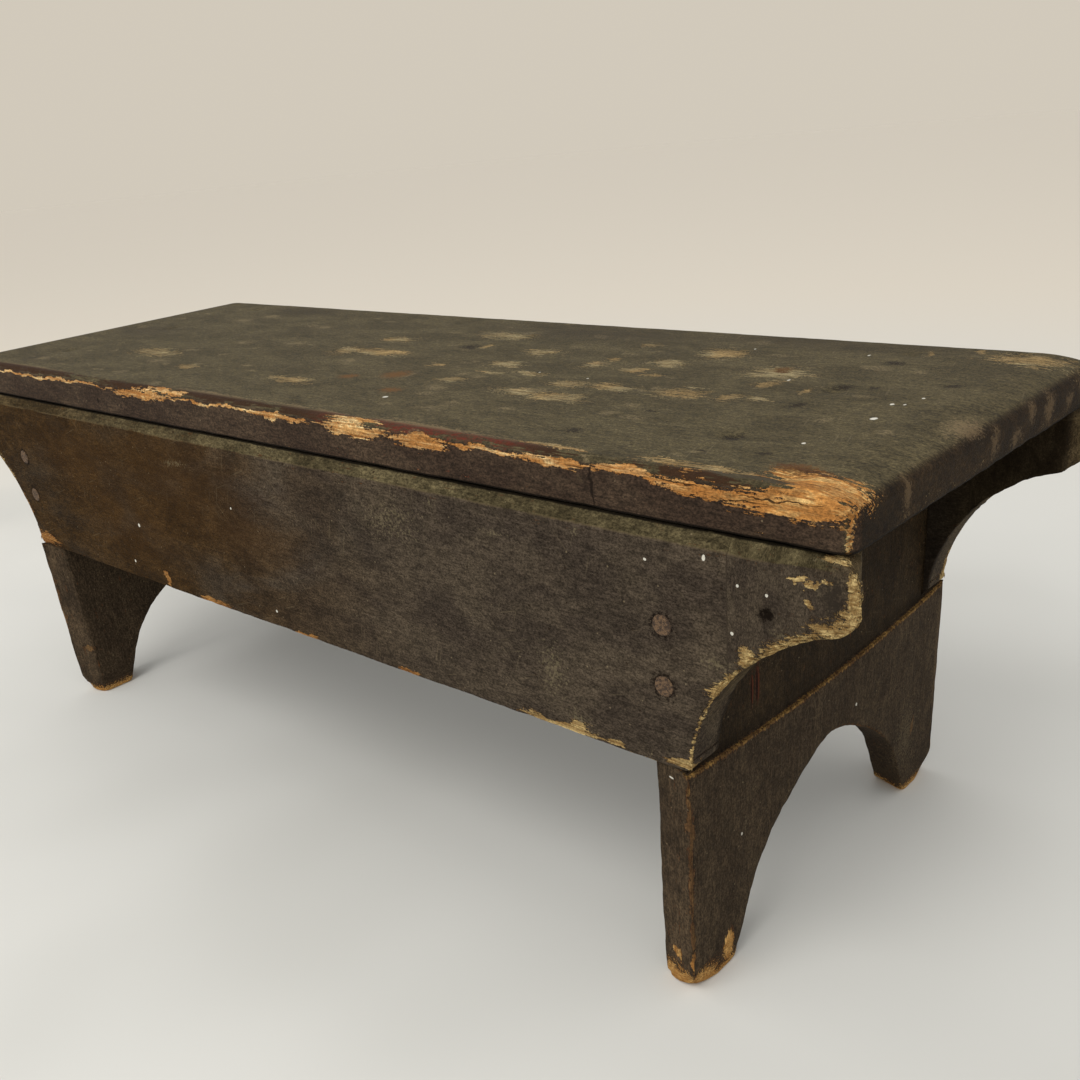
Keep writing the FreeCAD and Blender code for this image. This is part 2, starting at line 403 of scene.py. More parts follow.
grain_group, given, asked = new_group(
    "Pine Grain", [("Vector", "Vector")], [("Rings", "Float"), ("Fibre", "Float")]
)
tree = grain_group
slow = streaky(tree, given["Vector"], 0.004, 0.05, 0.05, 2, 0.5, 0.6)
wave = calc(tree, "SINE", times(tree, slow, 95.0))
tree.links.new(scaled(tree, wave, 0.5, 0.5), asked["Rings"])
tree.links.new(streaky(tree, given["Vector"], 0.05, 1.1, 1.1, 4, 0.7), asked["Fibre"])

scratch_group, given, asked = new_group("Scratches", [("Flat", "Vector")], [("Mask", "Float")])
tree = scratch_group
scratched = 0.0
for turn, shift in ((0.32, 3.0), (-0.85, 40.0), (1.25, 90.0)):
    turned = add(
        tree, "Mapping",
        {"Vector": given["Flat"], "Rotation": (0, 0, turn), "Location": (shift, shift, shift)}
    ).outputs[0]
    line = streaky(tree, turned, 0.05, 1.0, 1.0, 0, 0.5, 0.15)
    scratched = most(tree, between(tree, line, 0.74, 0.80), scratched)
held = between(tree, grainy(tree, given["Flat"], 0.035, 2, 0.6), 0.44, 0.60)
tree.links.new(times(tree, scratched, held), asked["Mask"])

paint_group, given, asked = new_group(
    "Old Paint",
    [
        ("Grain", "Vector"), ("Flat", "Vector"), ("Wear", "Float"), ("First Coat Wear", "Float"),
        ("Ragged", "Float"), ("Scratched", "Float"), ("Paint", "Color"), ("Paint Shade", "Color"),
        ("First Coat", "Color"), ("Wood", "Color"), ("Wood Shade", "Color"), ("Dirt", "Color")
    ],
    [("Color", "Color"), ("Roughness", "Float"), ("Height", "Float"), ("Bare", "Float")],
)
tree = paint_group
wide_noise = streaky(tree, given["Grain"], 0.030, 0.060, 0.060, 3, 0.62, 0.5)
small_noise = streaky(tree, given["Grain"], 0.28, 0.50, 0.50, 4, 0.68, 0.2)
grit = streaky(tree, given["Grain"], 0.9, 1.3, 1.3, 4, 0.8)
line_noise = streaky(tree, given["Grain"], 0.085, 1.0, 1.0, 3, 0.7)
rag = calc(tree, "ADD", times(tree, grit, 1.3), times(tree, line_noise, 2.6))
rag = calc(tree, "ADD", times(tree, small_noise, 1.2), rag)
rag = times(tree, calc(tree, "SUBTRACT", rag, 2.55), given["Ragged"])
bare = between(tree, calc(tree, "ADD", given["Wear"], rag), 0.48, 0.57)
first = most(tree, given["First Coat Wear"], calc(tree, "SUBTRACT", given["Wear"], 0.10))
thin = between(tree, scaled(tree, rag, 1.4, first), 0.36, 0.58)
pine = use(tree, grain_group, {"Vector": given["Grain"]})
streaks = scaled(tree, pine["Rings"], 0.2, times(tree, between(tree, pine["Fibre"], 0.40, 0.60), 0.8))
splits = between(tree, pine["Fibre"], 0.60, 0.66)
film = tint(tree, between(tree, wide_noise, 0.36, 0.64), given["Paint"], given["Paint Shade"])
shade = scaled(tree, between(tree, small_noise, 0.34, 0.66), 0.56, 0.72)
shade = times(tree, shade, scaled(tree, between(tree, grit, 0.36, 0.64), 0.95, 0.53))
shade = times(tree, shade, scaled(tree, between(tree, line_noise, 0.40, 0.66), -0.34, 1.14))
film = dim(tree, film, shade)
scuffs = use(tree, scratch_group, {"Flat": given["Flat"]})[0]
film = tint(tree, times(tree, scuffs, given["Scratched"]), film, colour(150, 134, 104))
specks = use(tree, speck_group, {"Vector": given["Grain"], "Scale": 0.34, "Share": 0.30, "Size": 0.13})[0]
film = tint(tree, times(tree, specks, 0.42), film, colour(146, 130, 102))
pocks = use(tree, speck_group, {"Vector": given["Grain"], "Scale": 0.21, "Share": 0.35, "Size": 0.13})[0]
film = tint(tree, times(tree, pocks, 0.75), film, given["Dirt"])
film = tint(tree, thin, film, dim(tree, given["First Coat"], scaled(tree, grit, 1.6, 0.2)))
wood = tint(tree, streaks, given["Wood"], given["Wood Shade"])
wood = tint(tree, between(tree, wide_noise, 0.44, 0.60), wood, tint(tree, 0.62, wood, given["Wood Shade"]))
wood = tint(tree, times(tree, between(tree, small_noise, 0.50, 0.66), 0.42), wood, given["Dirt"])
wood = tint(tree, times(tree, splits, 0.75), wood, given["Dirt"])
wood = dim(tree, wood, scaled(tree, between(tree, grit, 0.38, 0.62), 0.5, 0.72))
tree.links.new(tint(tree, bare, film, wood), asked["Color"])
tree.links.new(scaled(tree, bare, 0.10, scaled(tree, small_noise, 0.30, 0.58)), asked["Roughness"])
skin = scaled(tree, small_noise, 0.40, scaled(tree, grit, 0.55, times(tree, bare, -0.55)))
wood_lines = times(tree, streaks, scaled(tree, bare, -0.55, -0.12))
tree.links.new(calc(tree, "ADD", scaled(tree, pocks, -0.6, skin), wood_lines), asked["Height"])
tree.links.new(bare, asked["Bare"])


def nearest(tree, place, marks, thin=1.0):
    value = 9.0
    for x, y, z, a, b, c in marks:
        wanted = {"Vector": place, "Centre": (x, y, z), "Size": (a, b * thin, c), "Nearest": value}
        value = use(tree, patch_group, wanted)["Nearest"]
    return value


def on_top(marks):
    return [(x, y, 200, a, b, 10) for x, y, a, b in marks]


def in_mm(tree):
    place = stretch(tree, add(tree, "TexCoord").outputs["Object"], 1000, 1000, 1000)
    return place, add(tree, "SeparateXYZ", {0: place}).outputs


def noted(tree, name):
    return add(tree, "Attribute", attribute_name=name).outputs["Fac"]


def beyond(tree, value, low, high):
    return between(tree, calc(tree, "ABSOLUTE", value), low, high)


def astray(tree, place, far):
    return use(tree, wander_group, {"Vector": place, "Far": far})[0]


finish = new_material("top_paint")
tree = finish[1]
place, spots = in_mm(tree)
tan_marks = on_top([
    (-34, 30, 9.9, 6.5), (18, 55, 15, 8.2), (-14, 5, 8.8, 5.3), (26, 31, 2.7, 4.8), (64, 29, 7.9, 5.9),
    (105, 58, 4.5, 4.1), (32, -8, 5.3, 4.3), (66, 3, 7.9, 5.9), (105, 16, 4.4, 6.1), (108, 27, 3.8, 4.2),
    (136, 28, 8.1, 6), (70, -12, 7.8, 2.6), (88, -7, 8, 2.6), (62, -28, 6.1, 5.9), (128, 13, 5.7, 4.6),
    (141, 8, 4.5, 2.4), (120, -17, 8.9, 5.8), (140, -14, 9.9, 4.9), (108, -34, 12.9, 5.3),
    (129, -36, 12.2, 6), (171, -13, 10, 7.1), (147, 52, 10, 9.4), (188, 28, 11, 11), (194, 10, 3.8, 4.1),
    (193, -11, 3.8, 6.4), (202, -11, 5, 3.4), (212, 6, 1.6, 4.8), (227, 77, 1.6, 5.4), (265, 79, 12.5, 10.9),
    (243, 85, 2.4, 2.9), (222, -87.6, 12, 3.6), (240, -86.4, 10, 3.2), (-42, 1, 7.8, 9.9),
    (-19, 3, 16.3, 5.8), (-154, -39, 17, 8), (-13, -56, 12, 5), (-97, -56, 7, 4),
])
faint_marks = on_top([
    (67, -42, 7.2, 3.7), (94, -59, 5, 3.4), (165, -35, 5.9, 3.1), (123, -57, 5.1, 3.2), (163, -47, 4.6, 3),
    (237, 46, 3.9, 3.8), (-131, -52, 9.6, 5), (-138, -28, 6.8, 3.7), (-125, -3, 7.4, 4.9),
    (-192, 44, 10.4, 5.9), (-185, 59, 8.2, 4), (-114, 43, 8.1, 6.6), (-89, 5, 8.6, 5.9), (-20, -15, 6.7, 3.5),
    (-65, -43, 5.8, 3.2), (-51, -50, 4.8, 3.1), (-215, -74, 7, 5.4), (158, -8, 3.8, 2.8), (60, -17, 3.7, 3),
    (71, -20, 3.6, 3.5), (277, -13, 6, 13), (37, -29, 2.6, 6.1),
])
rust_marks = on_top(
    [(51, -52, 7.5, 4.9), (258, -77, 9, 5.5), (187, 34, 4.4, 5.4), (10, -41, 6, 4), (30, -30, 8.6, 8.2)]
)
dark_marks = on_top([
    (19, 27, 8, 6), (222, 16, 4.3, 4.9), (220, -13, 4.7, 4.5), (233, 19, 3.1, 1.9), (222, 57, 5.7, 3.7),
    (221, -55, 4.5, 5.1), (241, -68, 3.1, 2.3), (221, -73, 3.7, 1.4), (177, -38, 5.7, 1.4),
    (167, -70, 4.9, 4.2), (257, 30, 3.5, 2.5),
])
stain_marks = on_top(
    [(-172, 80, 27.9, 10.3), (-230, 0, 22, 16), (-224, -77, 8.3, 6.7), (60, 74, 60, 14), (180, 82, 60, 10)]
)
fleck_marks = on_top([
    (252, -19, 1.7, 2.4), (249, 0, 1.1, 1.7), (253, 1, 0.7, 1.2), (255, 11, 0.9, 1.2), (246, -53, 1, 1.3),
    (198, 19, 0.8, 1.7), (206, 67, 0.7, 1.6), (59, -62, 1.8, 1.8), (155, 64, 0.7, 1.0), (120, -6, 0.8, 0.8),
    (92, -4, 0.7, 0.9),
])
splinters = [
    (-185, -94, 196.7, 80, 3.2, 0.7), (-80, -94, 195.9, 22, 3.6, 2.3), (-62, -93, 199, 20, 2.4, 1.2),
    (-10, -94, 196.8, 60, 3.0, 0.6), (28, -94, 196.3, 20, 4, 1.3), (76, -94, 196.0, 18, 4, 2.7),
    (74, -91.8, 200, 16, 1.8, 3), (113, -94, 195.4, 14, 4, 2.3), (143, -94, 197.0, 20, 4, 0.8),
    (178, -94, 196.5, 18, 4, 1.4), (206, -94, 196.7, 16, 4, 1.2), (236, -94, 195.9, 22, 4.2, 1.9),
    (266, -94, 195.0, 22, 5.4, 4.0), (-262, -89, 198, 20, 5, 5), (173, -88.2, 200, 15, 1.2, 3),
    (230, -88, 200, 20, 1.0, 3), (272, -87, 199, 14, 10.5, 8), (262, -81, 200, 10, 5, 4),
    (284.5, -94, 189.5, 1.7, 1.7, 8),
]
first_coat_marks = [
    (-205, -91.5, 200, 60, 3.4, 2.6), (-20, -91, 200, 40, 3.6, 2.6), (48, -91, 200, 26, 3.8, 2.8),
    (112, -90.5, 200, 34, 4.2, 3.0), (-90, -92, 199, 30, 2.6, 2.4), (165, -91, 200, 18, 2.6, 2.4),
    (230, -92, 199, 20, 2.4, 2.2),
]
smears = [
    (285, 0, 191, 4, 3, 4.5), (285, 18, 188, 4, 3.4, 3), (285, 31, 194, 4, 3, 4), (285, 47, 192, 4, 4, 5),
    (285, 66, 190, 4, 3.4, 3), (285, -62, 192, 4, 2.4, 5), (285, 80, 193, 4, 4, 3), (281, -12, 198, 6, 9, 2),
]
knots = [
    (188, 30, 200, 3.4, 2.4, 30), (262, -77, 200, 8, 2.2, 6), (268, -78.2, 200, 4, 1.6, 6),
    (254, -75, 200, 5, 1.5, 6)
]
islands = [(255, -88.6, 200, 10, 1.7, 3), (243, -90.5, 200, 6, 1.1, 3)]
cracks = [
    (193.5, -94, 191, 0.8, 4, 8), (262, -94, 196.2, 16, 3, 0.25), (250, -94, 194.6, 11, 3, 0.22),
    (226, -94, 196.8, 12, 3, 0.22), (285, -81, 187, 3, 1.3, 0.9), (285, -75, 186, 3, 2.3, 1.0),
    (-122, -94, 189, 1.0, 3, 1.6)
]
on_front = beyond(tree, spots["Y"], 92.6, 93.9)
on_side = most(tree, on_front, beyond(tree, spots["X"], 280.5, 284.2))
gap = noted(tree, "gap")
lost = noted(tree, "lost")
scuffed = astray(tree, place, 9.0)
bent = astray(tree, place, 7.0)
torn = astray(tree, place, 3.6)
patches = streaky(tree, place, 0.018, 0.05, 0.05, 2, 0.6)
edge_wear = scaled(tree, between(tree, patches, 0.46, 0.66), 0.8, scaled(tree, gap, -0.40, -0.05))
edge_wear = times(tree, scaled(tree, lost, 0.2, edge_wear), between(tree, spots["Z"], 187, 196))
mark_wear = times(tree, calc(tree, "SUBTRACT", 2.0, nearest(tree, bent, tan_marks, 0.8)), 0.5)
splinter_wear = calc(tree, "SUBTRACT", 1.5, nearest(tree, torn, splinters))
wear = most(tree, most(tree, mark_wear, splinter_wear), edge_wear)
first_wear = calc(tree, "SUBTRACT", 1.5, nearest(tree, torn, first_coat_marks))
near_edge = most(
    tree, between(tree, spots["Y"], -87.5, -91),
    times(tree, between(tree, spots["X"], 244, 256), between(tree, spots["Y"], -70, -80))
)
mellow = streaky(tree, place, 0.035, 0.045, 0.045, 1, 0.5)
wood = tint(tree, between(tree, mellow, 0.42, 0.54), colour(196, 166, 114), colour(172, 158, 120))
layers = between(tree, streaky(tree, place, 0.10, 0.35, 0.35, 3, 0.7), 0.43, 0.57)
near_corner = between(tree, spots["X"], 205, 240)
pale_wood = tint(tree, near_corner, colour(244, 216, 158), colour(246, 208, 138))
deep_wood = tint(tree, near_corner, colour(218, 170, 108), colour(222, 160, 88))
wood = tint(tree, near_edge, wood, tint(tree, layers, pale_wood, deep_wood))
wood_shade = tint(tree, near_edge, colour(132, 110, 74), colour(170, 114, 58))
low_corner = times(tree, between(tree, spots["Z"], 193.5, 191.5), between(tree, spots["X"], 278, 281))
wood = tint(tree, low_corner, wood, colour(186, 172, 122))
red_first = times(tree, between(tree, spots["X"], 40, 75), between(tree, spots["X"], 175, 150))
first = tint(
    tree, red_first, colour(56, 38, 24),
    tint(
        tree, between(tree, streaky(tree, place, 0.2, 0.5, 0.5, 3, 0.7), 0.44, 0.58), colour(92, 44, 32),
        colour(76, 52, 38)
    )
)
first = tint(tree, near_edge, colour(112, 96, 70), first)
# Painted shade: the ends and the back edge of the top board take a darker paint than its front edge.
shaded_ends_and_back = between(tree, spots["Y"], -91, -88)
side_paint = tint(tree, shaded_ends_and_back, colour(68, 55, 43), colour(50, 38, 24))
side_shade = tint(tree, shaded_ends_and_back, colour(54, 42, 33), colour(36, 27, 17))
paint = tint(tree, on_side, colour(84, 75, 53), side_paint)
paint_shade = tint(tree, on_side, colour(70, 62, 43), side_shade)
coat = use(tree, paint_group, {
    "Grain": place, "Flat": stretch(tree, place, 1, 1, 0), "Wear": wear, "First Coat Wear": first_wear,
    "Ragged": 0.80, "Scratched": scaled(tree, on_side, -0.15, 0.15), "Paint": paint,
    "Paint Shade": paint_shade, "First Coat": first, "Wood": wood, "Wood Shade": wood_shade,
    "Dirt": colour(46, 36, 24),
})
fine = grainy(tree, place, 0.9, 5, 0.75)


def laid(tree, skin, fine, layers):
    for marks, shown, where, soft, amount, raggedness in layers:
        if marks:
            field = nearest(tree, where, marks)
            field = scaled(tree, calc(tree, "SUBTRACT", fine, 0.5), raggedness, field)
            skin = tint(tree, times(tree, between(tree, field, *soft), amount), skin, shown)
    return skin


def coat_with(piece, finish, skin, coat, depth, gloss):
    look, tree, shader = finish
    tree.links.new(skin, shader.inputs["Base Color"])
    tree.links.new(coat["Roughness"], shader.inputs["Roughness"])
    relief(tree, shader, coat["Height"], 0.8, depth)
    shader.inputs["Specular IOR Level"].default_value = gloss
    piece.data.materials.append(look)


dashes = use(
    tree, speck_group,
    {"Vector": stretch(tree, scuffed, 0.45, 1, 0.2), "Scale": 0.105, "Share": 0.42, "Size": 0.30}
)[0]
dashes = times(tree, dashes, between(tree, fine, 0.40, 0.62))
dashes = times(tree, dashes, scaled(tree, on_side, -0.5, 0.62))
skin = tint(tree, dashes, coat["Color"], colour(134, 118, 88))
skin = laid(tree, skin, fine, [
    (stain_marks, colour(58, 50, 38), bent, (1.7, 0.2), 0.5, 3.0),
    (faint_marks, colour(132, 116, 86), bent, (1.1, 0.0), 0.55, 5.0),
    (rust_marks, colour(104, 72, 38), torn, (1.0, 0.4), 0.85, 3.5),
    (knots, colour(82, 52, 29), torn, (1.2, 0.2), 0.9, 4.5),
    (islands, colour(70, 62, 48), torn, (1.1, 0.7), 0.95, 1.6),
    (dark_marks, colour(30, 22, 15), torn, (1.0, 0.2), 0.85, 4.5),
    (smears, colour(118, 98, 72), torn, (1.4, 0.2), 0.5, 6.0),
    (cracks, colour(26, 18, 12), torn, (1.2, 0.6), 0.9, 0.9),
    (fleck_marks, colour(214, 210, 198), place, (0.75, 0.55), 1.0, 0.8),
])
# Painted shade where the top board sits on the aprons: its lower arris and its underside are darkened nearly
# to black.
grime_and_shade = times(tree, between(tree, spots["Z"], 184.5, 183.9), 0.9)
skin = tint(tree, grime_and_shade, skin, colour(16, 12, 8))
coat_with(top, finish, skin, coat, 0.0007, 0.08)
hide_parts("top_board")
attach(top, "root")

# Aprons: two pine planks, 578 by 86 mm and 17 mm thick. Each end is sawn to a rounded nose over a
# hollow, the saw leaning inwards, and the upper outer arris is planed off beside the top board.


def draw(name, points):
    bpy.ops.object.select_all(action="DESELECT")
    bpy.ops.mesh.primitive_plane_add(size=0.001, location=points[0])
    board = bpy.context.object
    board.name = name
    bpy.ops.object.transform_apply(location=True, rotation=True, scale=True)
    start_edit(board)
    pick_all()
    bpy.ops.mesh.merge(type="COLLAPSE")
    bpy.ops.mesh.select_mode(type="VERT")
    pick_all()
    for first, last in zip(points, points[1:]):
        move = Vector(last) - Vector(first)
        bpy.ops.mesh.extrude_vertices_move(TRANSFORM_OT_translate={"value": move})
    pick_all()
    bpy.ops.mesh.edge_face_add()
    return board


def face_outwards():
    pick_all()
    bpy.ops.mesh.remove_doubles(threshold=0.000001)
    pick_all()
    bpy.ops.mesh.normals_make_consistent(inside=False)
    if bmesh.from_edit_mesh(bpy.context.object.data).calc_volume(signed=True) < 0:
        bpy.ops.mesh.flip_normals()


def cut_off(spot, normal):
    pick_all()
    cut = {"plane_co": spot, "plane_no": normal, "threshold": 0.000001}
    bpy.ops.mesh.bisect(use_fill=True, clear_outer=True, **cut)


def mirrored(piece, name, axis):
    twin = piece.copy()
    twin.data = piece.data.copy()
    twin.name = name
    bpy.context.scene.collection.objects.link(twin)
    start_edit(twin)
    pick_all()
    sides = [side == axis for side in "XYZ"]
    bpy.ops.transform.mirror(constraint_axis=sides, center_override=(0, 0, 0))
    face_outwards()
    pick_all()
    bpy.ops.mesh.delete_loose()
    bpy.ops.object.mode_set(mode="OBJECT")
    return twin


def other_half(points):
    return [(-across, up) for across, up in reversed(points)]


def arc(centre, radius, start, stop, count):
    turns = [math.radians(start + (stop - start) * number / count) for number in range(count + 1)]
    return [(centre[0] + radius * math.cos(turn), centre[1] + radius * math.sin(turn)) for turn in turns]


apron_front, apron_back, apron_low, apron_high = -0.097, -0.080, 0.097, 0.183
nose_tip, nose_radius, hollow_radius, heel = half_length, 0.013, 0.068, 0.231
heel_radius, end_lean, top_bevel = 0.0038, 0.008, (0.003, 0.0045)
nose = Vector((nose_tip - nose_radius, apron_high - nose_radius))
span = nose - Vector((heel, apron_low))
along = (hollow_radius ** 2 - (hollow_radius + nose_radius) ** 2 + span.length ** 2) / (2 * span.length)
beside = math.sqrt(hollow_radius ** 2 - along ** 2)
unit = span.normalized()
hollow = Vector((heel, apron_low)) + unit * along + Vector((unit.y, -unit.x)) * beside
leave = math.degrees(math.atan2(hollow.y - nose.y, hollow.x - nose.x))
enter = leave + 180
land = math.degrees(math.atan2(apron_low - hollow.y, heel - hollow.x)) % 360
end = arc(nose, nose_radius, 90, leave, 24) + arc(hollow, hollow_radius, enter, land, 48)[1:-2]
end += arc((heel - 0.0030, apron_low + heel_radius), heel_radius, 20, -90, 6)
front = draw("front_plank", [(x, apron_front, z) for x, z in end + other_half(end)])
bpy.ops.mesh.extrude_region_move(TRANSFORM_OT_translate={"value": (0, apron_back - apron_front, 0)})
face_outwards()
for side in (-1, 1):
    cut_off((side * nose_tip, apron_front, 0), (side * 0.017, end_lean, 0))
bevel_wide, bevel_high = top_bevel
cut_off((0, apron_front, apron_high - bevel_high), (0, -bevel_high, bevel_wide))
bpy.ops.object.mode_set(mode="OBJECT")
front_arrises = arris_points(front)
rear_arrises = arris_points(front, (), (1, -1, 1))
start_edit(front)
nose_from, nose_low = 0.262, 0.157
round_over(
    0.0018, 3,
    lambda e: arris(e) and abs(middle(e).x) > 0.233 and middle(e).y < -0.092 and middle(e).z < nose_low
)
round_over(0.0006, 2, arris)
saw(0, steps(-0.2875, 0.2875, 0.002))
saw(1, [-0.0962, -0.0948, -0.0932, -0.0905, -0.087, -0.0835, -0.0812])
saw(2, [0.0985, 0.1] + steps(0.102, 0.176, 0.002) + [0.1776, 0.1794, 0.181, 0.1822])
bpy.ops.object.mode_set(mode="OBJECT")


def off_line(point):
    around = sum((edge.other_vert(point).co for edge in point.link_edges), Vector())
    return (around / len(point.link_edges) - point.co).length


def blunt(piece, limit, repeat=4):
    start_edit(piece)
    pick("VERT", lambda v: abs(v.co.x) > nose_from and off_line(v) > limit)
    bpy.ops.mesh.vertices_smooth(factor=0.8, repeat=repeat)
    bpy.ops.object.mode_set(mode="OBJECT")
    for corner in piece.data.vertices:
        corner.co.z = min(corner.co.z, apron_high)


blunt(front, 0.0007)
blunt(front, 0.0007)
pull_reach, pull_back, pull_long = 0.008, 0.0024, 0.012
for corner in front.data.vertices:
    if abs(corner.co.x) > nose_from and corner.co.y < -0.094:
        round_off = max(0.0, 1 - front_arrises.find(corner.co)[2] / pull_reach)
        corner.co.y += pull_back * round_off ** 1.4 * min(1.0, (abs(corner.co.x) - nose_from) / pull_long)
rear = mirrored(front, "rear_plank", "Y")
nose_dents = ((0.2812, 0.1700, 0.0050, 0.0085, 0.0016), (0.2596, 0.1614, 0.0036, 0.0032, 0.0015))
for corner in front.data.vertices:
    for x, z, wide, high, deep in nose_dents:
        away = ((corner.co.x - x) / wide) ** 2 + ((corner.co.z - z) / high) ** 2
        if away < 1 and corner.co.y < -0.09:
            corner.co.y += deep * (1 - away)
end_line = arc(nose, nose_radius, 88, leave, 60) + arc(hollow, hollow_radius, enter, land, 160)
end_tree = KDTree(len(end_line))
for number, (x, z) in enumerate(end_line):
    end_tree.insert((x, apron_front, z), number)
end_tree.balance()
for piece in (front, rear):
    folded = [(abs(corner.co.x), -abs(corner.co.y), corner.co.z) for corner in piece.data.vertices]
    note(piece, "end", [1000 * end_tree.find(spot)[2] for spot in folded])
for piece, arrises in ((front, front_arrises), (rear, rear_arrises)):
    wear_down(piece, arrises, (2.0, 1, 1), 0.006, lambda spot: 1.0 if abs(spot.x) > 0.236 else 0.35, 1.0, 28)
blunt(front, 0.0008, 1)
blunt(rear, 0.0006, 2)


def on_face(y, marks):
    return [(x, y, z, a, 4, c) for x, z, a, c in marks]


def apron_finish(piece, marks, pale_marks, broken, hole_shade, warm, flecks):
    finish = new_material(piece.name + "_paint")
    tree = finish[1]
    place, spots = in_mm(tree)
    gap = noted(tree, "gap")
    lost = noted(tree, "lost")
    torn = astray(tree, place, 4.5)
    patches = streaky(tree, place, 0.022, 0.05, 0.05, 2, 0.6)
    on_end = beyond(tree, spots["X"], 230, 250)
    faced = beyond(tree, spots["Y"], 92, 96.4)
    sawn = times(tree, calc(tree, "SUBTRACT", 1.0, faced), on_end)
    edge_wear = scaled(tree, between(tree, patches, 0.44, 0.66), 0.62, scaled(tree, lost, 0.15, -0.02))
    edge_wear = scaled(tree, gap, -0.42, edge_wear)
    edge_wear = times(tree, edge_wear, scaled(tree, faced, 0.6, 0.4))
    edge_wear = times(tree, edge_wear, between(tree, spots["Z"], 176, 171))
    end_gap = noted(tree, "end")
    at_nose = times(tree, between(tree, spots["Z"], 146, 156), between(tree, spots["Z"], 184, 166))
    width = scaled(tree, at_nose, 2.0, scaled(tree, between(tree, patches, 0.46, 0.62), 2.4, 0.9))
    end_wear = calc(tree, "SUBTRACT", 1.10, calc(tree, "DIVIDE", times(tree, end_gap, 0.6), width))
    edge_wear = most(tree, edge_wear, end_wear)
    wear = most(tree, edge_wear, calc(tree, "SUBTRACT", 1.45, nearest(tree, torn, marks)))
    bloom = streaky(tree, place, 0.012, 0.03, 0.03, 3, 0.6, 0.8)
    fine = grainy(tree, place, 0.9, 5, 0.7)
    creamy = most(tree, on_end, between(tree, spots["X"], 120, 170))
    wood = tint(tree, creamy, colour(184, 136, 78), colour(210, 184, 128))
    wood_shade = tint(tree, creamy, colour(126, 84, 46), colour(136, 106, 64))
    warm_zone = times(tree, between(tree, spots["X"], 130, -90), between(tree, bloom, 0.30, 0.58))
    far_left = between(tree, spots["X"], 0, -90)
    paint = tint(
        tree, warm_zone, tint(tree, far_left, colour(71, 62, 51), colour(58, 47, 34)), colour(62, 45, 24)
    )
    paint_shade = tint(
        tree, warm_zone, tint(tree, far_left, colour(58, 50, 42), colour(46, 36, 25)), colour(46, 32, 15)
    )
    paint = tint(tree, sawn, paint, colour(82, 70, 50))
    paint_shade = tint(tree, sawn, paint_shade, colour(56, 46, 31))
    height = scaled(tree, calc(tree, "SUBTRACT", fine, 0.5), 1.4, spots["Z"])
    band = times(tree, between(tree, height, 178.2, 178.7), beyond(tree, spots["X"], 282, 276))
    band = times(tree, band, scaled(tree, between(tree, spots["X"], -190, -60), 0.6, 0.4))
    paint = tint(tree, band, paint, colour(89, 80, 57))
    paint_shade = tint(tree, band, paint_shade, colour(61, 54, 37))
    at_tip = beyond(tree, spots["X"], 246, 246.5)
    grain = tint(tree, at_tip, place, stretch(tree, place, 5, 1.2, 1.2))
    turned = add(tree, "Mapping", {"Vector": place, "Rotation": (math.radians(90), 0, 0)}).outputs[0]
    coat = use(tree, paint_group, {
        "Grain": grain, "Flat": stretch(tree, turned, 1, 1, 0), "Wear": wear,
        "First Coat Wear": calc(tree, "SUBTRACT", wear, 0.05), "Ragged": 0.75, "Scratched": 0.11,
        "Paint": paint, "Paint Shade": paint_shade, "First Coat": colour(74, 50, 32), "Wood": wood,
        "Wood Shade": wood_shade, "Dirt": colour(42, 31, 21),
    })
    skin = laid(tree, coat["Color"], fine, [
        (warm, colour(70, 47, 22), torn, (1.7, 0.1), 0.30, 3.0),
        (pale_marks, colour(134, 122, 94), torn, (0.5, -0.2), 0.35, 5.0),
        (broken, colour(46, 40, 34), torn, (1.15, 0.3), 0.85, 5.0),
        # Painted shade in holes: near-black rings round the nail heads and a dark spot over a hole near the
        # nose.
        (hole_shade, colour(18, 12, 8), place, (1.2, 0.6), 0.92, 3.2),
        (flecks, colour(205, 202, 190), place, (0.75, 0.55), 1.0, 0.8),
    ])
    rim = times(
        tree, between(tree, calc(tree, "ABSOLUTE", calc(tree, "SUBTRACT", height, 178.3)), 0.5, 0.2),
        between(tree, patches, 0.44, 0.56)
    )
    skin = tint(tree, times(tree, rim, 0.3), skin, colour(112, 98, 70))
    # Painted shade in the gap under the top board: the top edge of each apron is darkened nearly to black.
    skin = tint(tree, times(tree, between(tree, spots["Z"], 182.3, 182.7), 0.92), skin, colour(12, 9, 6))
    # Painted shade under the top board: the inner faces of the aprons are darkened nearly to black.
    skin = tint(tree, times(tree, beyond(tree, spots["Y"], 84, 81), 0.7), skin, colour(18, 13, 9))
    coat_with(piece, finish, skin, coat, 0.0006, 0.03)
    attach(piece, "root")


